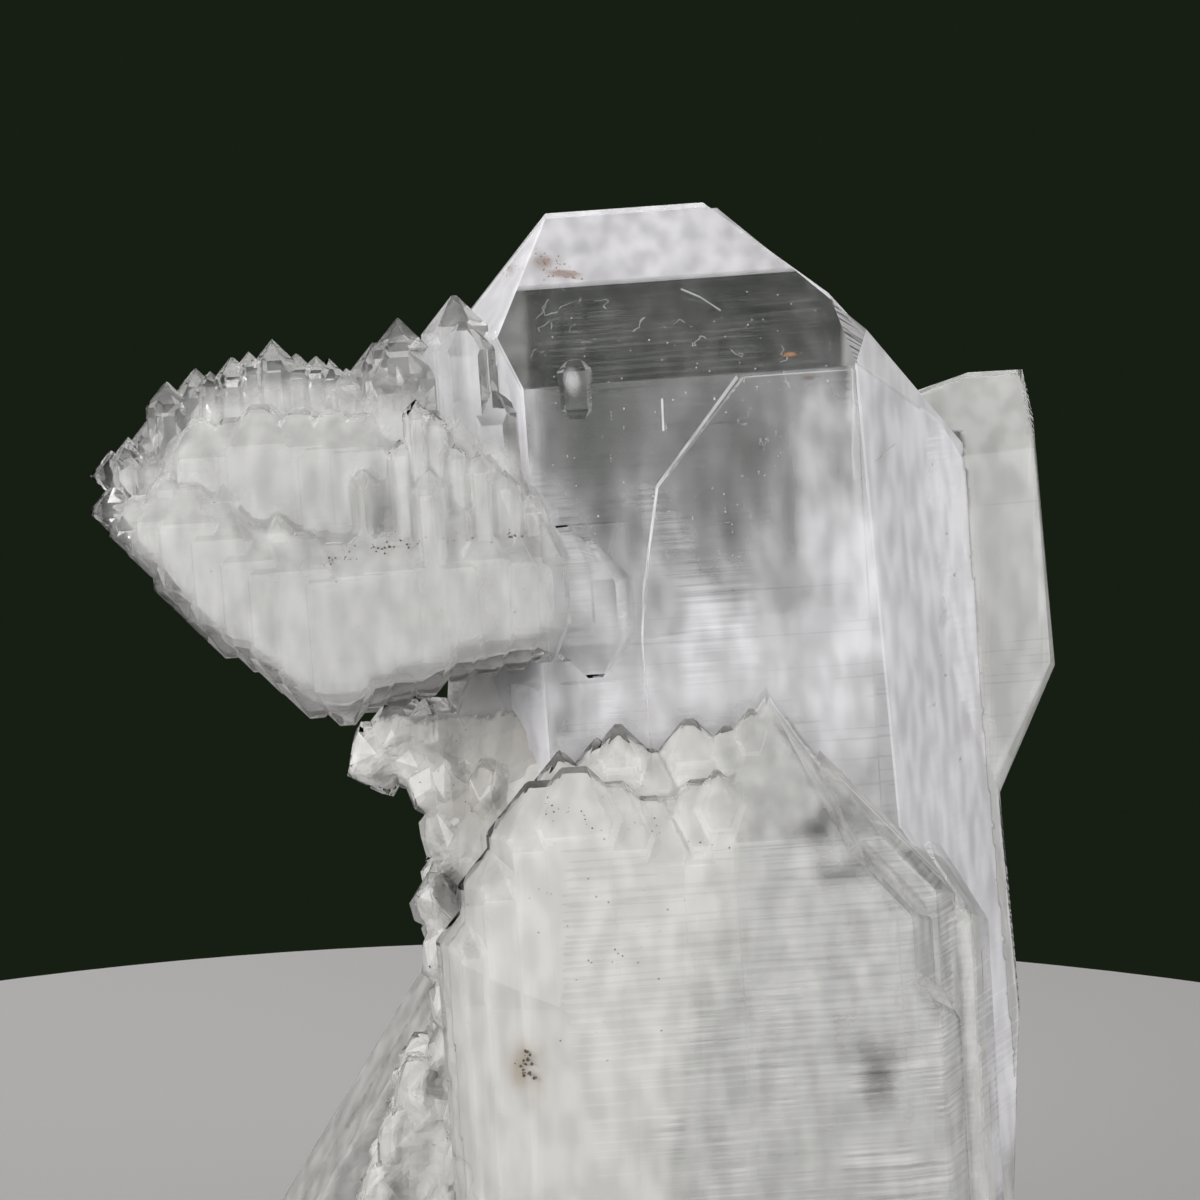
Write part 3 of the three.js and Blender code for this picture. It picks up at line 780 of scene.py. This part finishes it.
def on_front(a, c):
    """The place where a ray from the front meets the solid at this width and height."""
    hit, place, _, _ = skin.ray_cast(at(a, -60, c), along(0, 1, 0))
    return place if hit else None


def dirt(name, path, grains, spread, small, large, material):
    """Small grains scattered along a path of widths and heights."""
    chance = random.Random(grains)
    alone()
    bpy.ops.mesh.primitive_ico_sphere_add(subdivisions=1, radius=small * MM, location=on_front(*path[0]))
    bpy.ops.object.transform_apply(location=True)
    bpy.ops.object.mode_set(mode="EDIT")
    for _ in range(grains):
        leg = chance.randrange(len(path) - 1)
        share = chance.random()
        (a1, c1), (a2, c2) = path[leg], path[leg + 1]
        spot_a = a1 + (a2 - a1) * share + chance.gauss(0, spread)
        spot_c = c1 + (c2 - c1) * share + chance.gauss(0, spread)
        place = on_front(spot_a, spot_c)
        size = chance.uniform(small, large) * MM
        if place:
            sunk = place + along(0, size, 0)
            bpy.ops.mesh.primitive_ico_sphere_add(subdivisions=1, radius=size, location=sunk)
    settle(name)
    dress(bpy.context.object, material)


SHELF = [(-21, 107.6), (-16, 108.6), (-12, 109.1), (-5, 109.4), (2, 109.2)]
UNDER_TIPS = [(2.9, 78.3), (6.3, 77.2), (9, 75), (14.8, 75.1), (24.9, 71.8)]
dirt("shelf_dirt", SHELF, 60, 0.35, 0.05, 0.16, earth)
dirt("plate_pocket", [(-1.5, 49.5), (-1.0, 46.5)], 26, 0.5, 0.08, 0.25, earth)
dirt("plate_edge", UNDER_TIPS, 26, 0.5, 0.05, 0.13, earth)
dirt("plate_dust", [(2, 74), (8, 56), (14, 68), (6, 40)], 36, 3.5, 0.04, 0.11, earth)
dirt("wing_dust", [(-40, 108), (-24, 104), (-8, 100), (4, 104)], 24, 3, 0.04, 0.09, earth)
RUSTY = [(1.5, 141), (5, 142.5), (8.6, 141.6), (7, 140.2), (11, 139.9)]
dirt("rust_grains", RUSTY, 60, 0.6, 0.05, 0.13, rust_dust)
dirt("column_dust", [(-8, 84), (-12, 74), (-9, 60)], 24, 2, 0.05, 0.12, earth)
